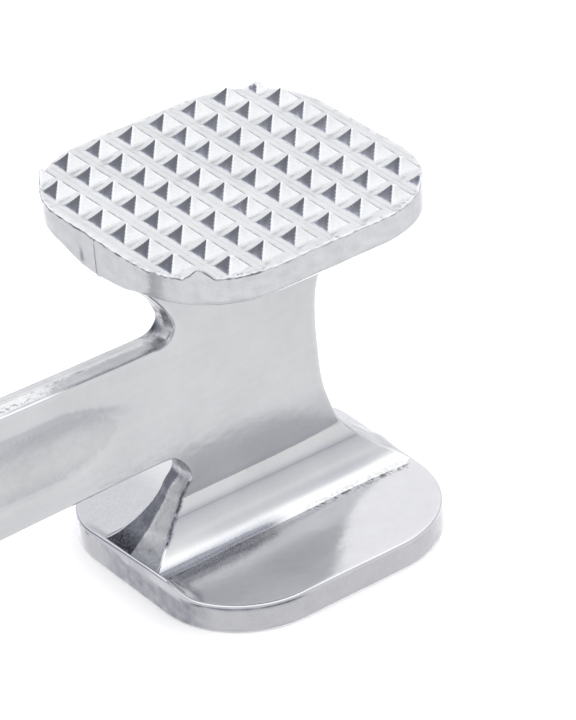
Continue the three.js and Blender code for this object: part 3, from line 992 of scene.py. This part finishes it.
def cut_piece(body, name, keep_left):
    """The part of the body on one side of the cut plane, capped there."""
    bm = bmesh.new()
    bm.from_mesh(body.data)
    geometry = list(bm.verts) + list(bm.edges) + list(bm.faces)
    bmesh.ops.bisect_plane(bm, geom=geometry, plane_co=(CUT_X, 0, 0), plane_no=(1, 0, 0),
                           dist=1e-5)
    # only the bar is cut: the ends of the web left of the plane stay with the web
    drop = []
    for face in bm.faces:
        centre = face.calc_center_median()
        left = centre.x < CUT_X and 20.0 < centre.z < 53.0
        if left != keep_left:
            drop.append(face)
    bmesh.ops.delete(bm, geom=drop, context="FACES")
    drop_loose(bm)
    rim = [e for e in bm.edges if len(e.link_faces) == 1]
    filled = bmesh.ops.triangle_fill(bm, edges=rim, use_beauty=True)
    caps = [g for g in filled["geom"] if isinstance(g, bmesh.types.BMFace)]
    for face in caps:
        face.smooth = False
    face_outwards(bm)
    bm.faces.index_update()
    cap_indices = set(face.index for face in caps)
    obj = add_object(name, bm)
    restore_normals(obj.data, cap_indices)
    return obj


def restore_normals(mesh, cap_indices):
    """Normals of the whole body, carried over the cut by attributes; flat ones on the caps."""
    carried = [mesh.attributes["n" + axis].data for axis in "xyz"]
    normals = np.stack([np.array([d.value for d in data]) for data in carried], 1)
    normals = normals / np.maximum(np.linalg.norm(normals, axis=1), 1e-6)[:, None]
    vertex_of_loop = np.zeros(len(mesh.loops), np.int32)
    mesh.loops.foreach_get("vertex_index", vertex_of_loop)
    corner_normals = normals[vertex_of_loop]
    for polygon in mesh.polygons:
        if polygon.index in cap_indices:
            for corner in polygon.loop_indices:
                corner_normals[corner] = polygon.normal
    mesh.normals_split_custom_set([tuple(v) for v in corner_normals])
    for axis in "xyz":
        mesh.attributes.remove(mesh.attributes["n" + axis])


def build_web_and_handle():
    body = build_body()
    web = cut_piece(body, "web_cast", keep_left=False)
    handle = cut_piece(body, "handle_cast", keep_left=True)
    bpy.data.objects.remove(body)
    return web, handle


# ---------------------------------------------------------------------------
# materials
# ---------------------------------------------------------------------------
class Nodes:
    """Adds and links nodes of one tree, which is emptied first."""

    def __init__(self, tree):
        self.tree = tree
        tree.nodes.clear()

    def feed(self, socket, value):
        """Links an output to the socket, or sets its value."""
        if isinstance(value, bpy.types.NodeSocket):
            self.tree.links.new(value, socket)
        else:
            socket.default_value = value

    def add(self, kind, inputs=None, **settings):
        node = self.tree.nodes.new(kind)
        for name, value in settings.items():
            setattr(node, name, value)
        for key, value in (inputs or {}).items():
            self.feed(node.inputs[key], value)
        return node

    def math(self, operation, a, b):
        return self.add("ShaderNodeMath", {0: a, 1: b}, operation=operation).outputs[0]

    def multiply(self, a, b):
        return self.math("MULTIPLY", a, b)

    def plus(self, a, b):
        return self.math("ADD", a, b)

    def one_minus(self, value):
        return self.math("SUBTRACT", 1.0, value)

    def ramp(self, value, over, to, **settings):
        """Maps the range 'over' to the range 'to'."""
        inputs = {"Value": value, "From Min": over[0], "From Max": over[1],
                  "To Min": to[0], "To Max": to[1]}
        return self.add("ShaderNodeMapRange", inputs, **settings).outputs[0]

    def scale_vector(self, vector, scale):
        return self.add("ShaderNodeVectorMath", {0: vector, "Scale": scale},
                        operation="SCALE").outputs[0]

    def multiply_vectors(self, a, b):
        return self.add("ShaderNodeVectorMath", {0: a, 1: b}, operation="MULTIPLY").outputs[0]

    def mix_vectors(self, factor, a, b):
        return self.add("ShaderNodeMix", {"Factor": factor, 4: a, 5: b},
                        data_type="VECTOR").outputs[1]


# name: (drawn out along the brushing, scale per metre, detail, roughness)
NOISES = {
    "streak": (True, 2600, 5, 0.6),
    "wide_streak": (True, 900, 4, 0.55),
    "cloud": (False, 90, 4, 0.6),
    "mottle": (False, 620, 5, 0.62),
    "grain": (False, 2400, 5, 0.65),
    "pits": (False, 1100, 3, 0.5),
    "dots": (False, 1300, 3, 0.6),
}
MARKS = ("wear_and_highlight", "zone", "dirt_and_painted_shade", "polish", "speck")
BRUSH_STRETCH = 0.035        # scale along the brushing


def surface_noises(nodes, brush_axis):
    place = nodes.add("ShaderNodeTexCoord").outputs["Object"]

    def mapped(scale):
        return nodes.add("ShaderNodeMapping", {"Vector": place, "Scale": scale}).outputs[0]

    stretched = [1.0, 1.0, 1.0]
    stretched[brush_axis] = BRUSH_STRETCH
    plain = mapped((1, 1, 1))
    noises = {}
    for name, (brushed, scale, detail, roughness) in NOISES.items():
        inputs = {"Vector": mapped(tuple(stretched)) if brushed else plain,
                  "Scale": scale, "Detail": detail, "Roughness": roughness}
        noises[name] = nodes.add("ShaderNodeTexNoise", inputs).outputs["Fac"]
    return noises


def surface_colour(nodes, noise, mark, tint, brush, speckle, zone_dark):
    """Cloudy, streaked grey, darker in rough areas, dirt and painted shade, brighter where worn and
    at painted highlights.
    """
    shade = nodes.multiply(
        nodes.ramp(noise["cloud"], over=(0.3, 0.7), to=(0.95, 1.04)),
        nodes.ramp(noise["wide_streak"], over=(0.3, 0.7),
                   to=(1.0 - 0.035 * brush, 1.0 + 0.03 * brush)))
    shade = nodes.multiply(shade, nodes.ramp(
        noise["grain"], over=(0.3, 0.75), to=(1.0 + 0.02 * speckle, 1.0 - 0.07 * speckle)))
    dark = nodes.multiply(mark["zone"], nodes.ramp(
        noise["mottle"], over=(0.35, 0.65), to=(zone_dark, zone_dark * 0.3)))
    shade = nodes.multiply(shade, nodes.one_minus(dark))
    shade = nodes.multiply(shade, nodes.ramp(mark["wear_and_highlight"], over=(0.0, 1.0), to=(1.0, 1.16)))
    dots = nodes.multiply(mark["speck"],
                          nodes.ramp(noise["dots"], over=(0.47, 0.60), to=(0.0, 1.0)))
    grainy = nodes.multiply(mark["dirt_and_painted_shade"],
                            nodes.ramp(noise["grain"], over=(0.25, 0.7), to=(0.72, 1.08)))
    dirt_and_shade = nodes.math("MINIMUM", nodes.plus(grainy, dots), 0.95)
    shade = nodes.multiply(shade, nodes.one_minus(dirt_and_shade))
    # dirt and painted shade are a little bluish
    cold = nodes.mix_vectors(mark["dirt_and_painted_shade"], (1.0, 1.0, 1.0), (0.93, 0.95, 1.10))
    return nodes.multiply_vectors(nodes.scale_vector(tint, shade), cold)


def surface_roughness(nodes, noise, mark, roughness, brush, zone_rough):
    value = nodes.ramp(noise["mottle"], over=(0.3, 0.7), to=(roughness * 0.82, roughness * 1.22))
    value = nodes.plus(value, nodes.ramp(
        noise["streak"], over=(0.35, 0.7), to=(-0.025 * brush, 0.045 * brush)))
    value = nodes.plus(value, nodes.multiply(mark["zone"], zone_rough))
    value = nodes.math("SUBTRACT", value, nodes.multiply(mark["wear_and_highlight"], 0.05))
    value = nodes.multiply(value, nodes.one_minus(nodes.multiply(mark["polish"], 0.6)))
    value = nodes.plus(value, nodes.multiply(mark["dirt_and_painted_shade"], 0.22))
    return nodes.add("ShaderNodeClamp", {"Value": value, "Min": 0.06, "Max": 0.75}).outputs[0]


def surface_relief(nodes, noise, mark, brush, speckle, zone_rough):
    """Brushing, cast grain, pits and waviness, as bump heights in metres."""
    height = nodes.plus(nodes.multiply(noise["streak"], 0.0000045 * brush),
                        nodes.multiply(noise["grain"], 0.000004 * speckle))
    pits = nodes.ramp(noise["pits"], over=(0.62, 0.72), to=(0, 1))
    height = nodes.plus(height, nodes.multiply(pits, -0.000006 * speckle))
    # polished areas are less wavy
    unpolished = nodes.one_minus(nodes.multiply(mark["polish"], 0.8))
    waviness = nodes.multiply(nodes.multiply(noise["mottle"], 0.000014), unpolished)
    height = nodes.plus(height, waviness)
    # coarse relief of the rough areas
    coarse = nodes.plus(nodes.multiply(noise["mottle"], 0.0002),
                        nodes.multiply(noise["grain"], 0.00004))
    coarse = nodes.multiply(coarse, mark["zone"])
    height = nodes.plus(height, nodes.multiply(coarse, zone_rough * 2.2))
    inputs = {"Strength": 1.0, "Distance": 1.0, "Height": height}
    return nodes.add("ShaderNodeBump", inputs).outputs[0]


def cast_aluminium(name, tint, roughness, brush_axis, brush, speckle, zone_rough, zone_dark):
    """Metal brushed along an axis (0 is x); the zone values act where 'zone' marks rough areas, and
    on the smooth plate its lower part, whose darkening is painted shade.
    """
    result = bpy.data.materials.new(name)
    result.use_nodes = True
    nodes = Nodes(result.node_tree)
    output = nodes.add("ShaderNodeOutputMaterial")
    shader = nodes.add("ShaderNodeBsdfPrincipled", {"Metallic": 1.0})
    nodes.feed(output.inputs[0], shader.outputs[0])
    noise = surface_noises(nodes, brush_axis)
    mark = {key: nodes.add("ShaderNodeAttribute", attribute_name=key).outputs["Fac"]
            for key in MARKS}
    nodes.feed(shader.inputs["Base Color"],
               surface_colour(nodes, noise, mark, tint, brush, speckle, zone_dark))
    nodes.feed(shader.inputs["Roughness"],
               surface_roughness(nodes, noise, mark, roughness, brush, zone_rough))
    nodes.feed(shader.inputs["Normal"],
               surface_relief(nodes, noise, mark, brush, speckle, zone_rough))
    return result


BODY_FINISH = dict(tint=(0.594, 0.599, 0.613), roughness=0.15, brush_axis=0, brush=0.30,
                   speckle=0.35, zone_rough=0.14, zone_dark=0.16)
toothed_metal = cast_aluminium(
    "aluminium_toothed", tint=(0.584, 0.590, 0.606), roughness=0.17, brush_axis=1, brush=0.60,
    speckle=0.95, zone_rough=0.06, zone_dark=0.06)
# the smooth plate's tint is darker and bluer than the other pieces': painted shade on the lower
# plate
smooth_metal = cast_aluminium(
    "aluminium_smooth", tint=(0.556, 0.557, 0.580), roughness=0.19, brush_axis=0, brush=0.30,
    speckle=0.55, zone_rough=0.06, zone_dark=0.07)
web_metal = cast_aluminium("aluminium_web", **BODY_FINISH)
handle_metal = cast_aluminium("aluminium_handle", **BODY_FINISH)

# ---------------------------------------------------------------------------
# pieces
# ---------------------------------------------------------------------------
toothed = build_toothed()
smooth = build_smooth()
web, handle = build_web_and_handle()
for piece, metal, node in ((toothed, toothed_metal, "toothed_strike_plate"),
                           (smooth, smooth_metal, "smooth_strike_plate"),
                           (web, web_metal, "web"),
                           (handle, handle_metal, "handle")):
    piece.data.transform(Matrix.Scale(METRES_PER_MM, 4))
    piece.data.update()
    piece.data.materials.clear()
    piece.data.materials.append(metal)
    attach(piece, "root")
    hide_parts(node)


# ---------------------------------------------------------------------------
# floor, metres
# ---------------------------------------------------------------------------
def build_floor():
    bm = bmesh.new()
    bmesh.ops.create_grid(bm, x_segments=8, y_segments=8, size=5.0)
    floor = add_object("floor", bm)
    floor.location = (0, 0, -0.00005)      # just below the smooth plate
    floor.visible_glossy = False
    pale = bpy.data.materials.new("floor_pale")
    pale.use_nodes = True
    shader = pale.node_tree.nodes["Principled BSDF"]
    shader.inputs["Base Color"].default_value = (0.93, 0.93, 0.94, 1)
    shader.inputs["Roughness"].default_value = 0.9
    shader.inputs["Specular IOR Level"].default_value = 0.1
    floor.data.materials.append(pale)
    return floor


build_floor()

# ---------------------------------------------------------------------------
# world: even light on matt surfaces, pale to the camera, a graded studio in reflections
# ---------------------------------------------------------------------------
# (z of the direction, brightness) of the surround, from straight down to straight up
FRONT_LEVELS = [
    (-1, 1.05), (-0.86, 0.98), (-0.72, 0.81), (-0.62, 1.04), (-0.53, 1.10), (-0.30, 1.12),
    (-0.15, 1.00), (-0.03, 0.80), (0.0, 0.60), (0.04, 0.78), (0.12, 0.86), (0.23, 0.93),
    (0.36, 1.00), (0.47, 1.16), (0.58, 1.37), (0.68, 1.57), (0.78, 1.66), (1.0, 1.5)]
BACK_LEVELS = [
    (-1, 1.05), (-0.86, 1.0), (-0.53, 1.02), (-0.1, 0.95), (0.0, 0.85), (0.3, 1.06),
    (0.53, 1.42), (0.75, 1.44), (1.0, 1.5)]
# (direction, inner angle, outer angle, operation, amount) of darker and brighter areas
AREAS = [
    ((-0.49, 0.82, 0.29), 10, 24, "SUBTRACT", 0.755),     # dark, back left
    ((-0.70, 0.45, 0.50), 8, 26, "SUBTRACT", 0.36),       # dimmer, left and higher
    ((0.48, 0.70, -0.527), 14, 34, "ADD", 0.45),          # lit floor behind
    ((0.48, 0.15, -0.87), 12, 28, "ADD", 1.15),           # lit floor, lower right
]
RAMP_HEADROOM = 2.0          # ramp colours are stored divided by this


def tinted(level):
    """A grey level of the surround; the dimmer parts are a little blue."""
    dim = min(1.0, max(0.0, (1.12 - level) / 0.55))
    return (level * (1 - 0.035 * dim) / RAMP_HEADROOM, level * (1 - 0.03 * dim) / RAMP_HEADROOM,
            level * (1 + 0.07 * dim) / RAMP_HEADROOM, 1)


def height_ramp(nodes, height, levels):
    """Colour of the surround by height."""
    share = nodes.add("ShaderNodeMapRange", {"Value": height, "From Min": -1, "From Max": 1})
    ramp = nodes.add("ShaderNodeValToRGB", {0: share.outputs[0]})
    elements = ramp.color_ramp.elements
    while len(elements) > 1:
        elements.remove(elements[-1])
    for k, (z, level) in enumerate(levels):
        position = (z + 1) / 2
        element = elements[0] if k == 0 else elements.new(position)
        element.position = position
        element.color = tinted(level)
    return nodes.scale_vector(ramp.outputs["Color"], RAMP_HEADROOM)


def lobe(nodes, ray, direction, inner, outer):
    """1 inside the inner angle of a direction, 0 outside the outer one, in degrees."""
    dot = nodes.add("ShaderNodeVectorMath", {0: ray, 1: Vector(direction).normalized()},
                    operation="DOT_PRODUCT")
    inputs = {"Value": dot.outputs["Value"], "From Min": math.cos(math.radians(outer)),
              "From Max": math.cos(math.radians(inner))}
    return nodes.add("ShaderNodeMapRange", inputs, interpolation_type="SMOOTHSTEP").outputs[0]


def studio_colour(nodes):
    place = nodes.add("ShaderNodeTexCoord").outputs["Generated"]
    ray = nodes.add("ShaderNodeVectorMath", {0: place}, operation="NORMALIZE").outputs[0]
    axes = nodes.add("ShaderNodeSeparateXYZ", {0: ray})
    front = height_ramp(nodes, axes.outputs["Z"], FRONT_LEVELS)
    back = height_ramp(nodes, axes.outputs["Z"], BACK_LEVELS)
    turn = nodes.add("ShaderNodeMapRange",
                     {"Value": axes.outputs["Y"], "From Min": -0.3, "From Max": 0.3},
                     interpolation_type="SMOOTHSTEP").outputs[0]
    surround = nodes.mix_vectors(turn, front, back)
    level = None
    for direction, inner, outer, operation, amount in AREAS:
        change = nodes.multiply(lobe(nodes, ray, direction, inner, outer), amount)
        factor = nodes.math(operation, 1.0, change)
        level = factor if level is None else nodes.multiply(level, factor)
    # the dark area at the back left is bluish
    blue = lobe(nodes, ray, direction=(-0.49, 0.82, 0.30), inner=14, outer=30)
    cool = nodes.mix_vectors(blue, (1.0, 1.0, 1.0), (0.95, 0.98, 1.13))
    return nodes.scale_vector(nodes.multiply_vectors(surround, cool), level)


def build_world():
    world = bpy.data.worlds.new("studio")
    bpy.context.scene.world = world
    world.use_nodes = True
    nodes = Nodes(world.node_tree)
    output = nodes.add("ShaderNodeOutputWorld")
    soft = nodes.add("ShaderNodeBackground", {"Color": (1.0, 1.0, 1.0, 1), "Strength": 1.6})
    pale = nodes.add("ShaderNodeBackground", {"Color": (0.97, 0.97, 0.975, 1)})
    studio = nodes.add("ShaderNodeBackground", {"Color": studio_colour(nodes)})
    rays = nodes.add("ShaderNodeLightPath").outputs
    lit = nodes.add("ShaderNodeMixShader",
                    {0: rays["Is Glossy Ray"], 1: soft.outputs[0], 2: studio.outputs[0]})
    seen = nodes.add("ShaderNodeMixShader",
                     {0: rays["Is Camera Ray"], 1: lit.outputs[0], 2: pale.outputs[0]})
    nodes.feed(output.inputs[0], seen.outputs[0])


build_world()

# ---------------------------------------------------------------------------
# camera, metres: in front, to the left and above, looking down along the handle's side
# ---------------------------------------------------------------------------
CAMERA_PLACE = (-0.341459, -0.511245, 0.415872)
CAMERA_RIGHT = (0.79826759, -0.59842605, -0.06822847)
CAMERA_UP = (0.363319, 0.3880795, 0.84699091)
CAMERA_BACK = (-0.48038336, -0.70091409, 0.52721084)


def build_camera():
    lens = bpy.data.cameras.new("camera")
    camera = bpy.data.objects.new("camera", lens)
    bpy.context.scene.collection.objects.link(camera)
    lens.sensor_fit = "AUTO"
    lens.sensor_width = 36.0
    lens.lens = 205.9
    lens.clip_start = 0.01
    pose = Matrix((CAMERA_RIGHT, CAMERA_UP, CAMERA_BACK)).transposed().to_4x4()
    pose.translation = CAMERA_PLACE
    camera.matrix_world = pose
    bpy.context.scene.camera = camera


build_camera()
bpy.context.scene.view_settings.view_transform = "Standard"
bpy.context.scene.view_settings.look = "None"


def plain(bounds):
    return [[float(c) for c in corner] for corner in bounds]
